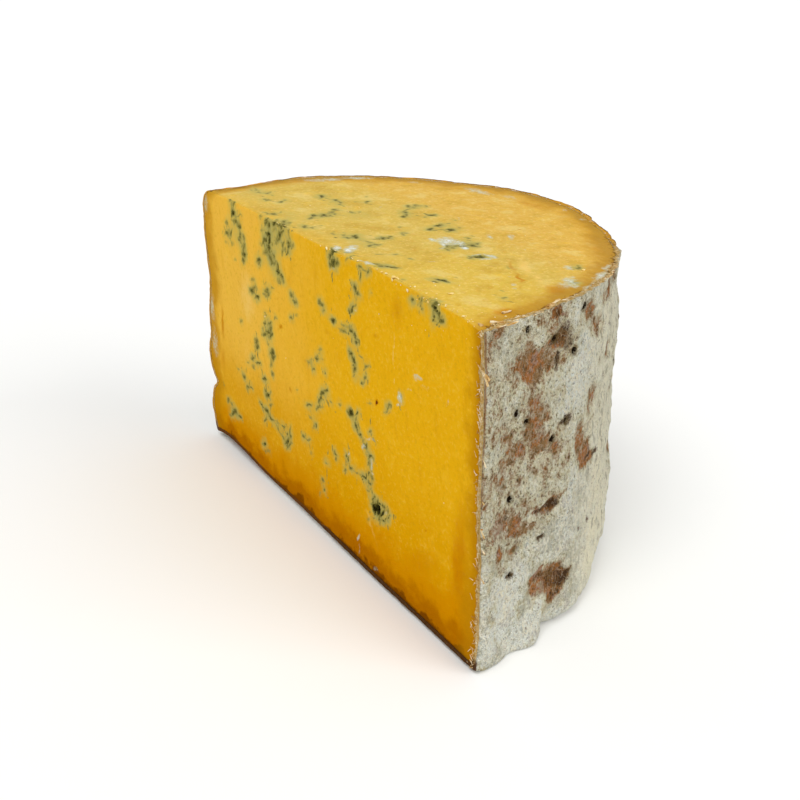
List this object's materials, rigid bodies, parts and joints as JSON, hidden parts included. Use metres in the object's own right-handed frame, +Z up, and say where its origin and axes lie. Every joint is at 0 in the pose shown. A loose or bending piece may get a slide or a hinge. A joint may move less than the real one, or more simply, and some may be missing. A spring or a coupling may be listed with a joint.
{
  "type": "half blue cheese",
  "caption": "Half of an orange blue-veined cheese drum with a mould-bloomed rind, cut level on top and straight down its front; food that stands on its base.",
  "frame": {"origin": "on the ground, under the middle of the piece's bounding box", "axes": "+Z up, +X along the straight cut, -Y out of the straight cut's face, +Y towards the round back of the rind"},
  "size_m": [0.2095, 0.1056, 0.1133],
  "materials": {
    "paste": "satin",
    "rind": "matte"
  },
  "bodies": {
    "root": {"half_cheese": "paste"}
  },
  "joints": []
}
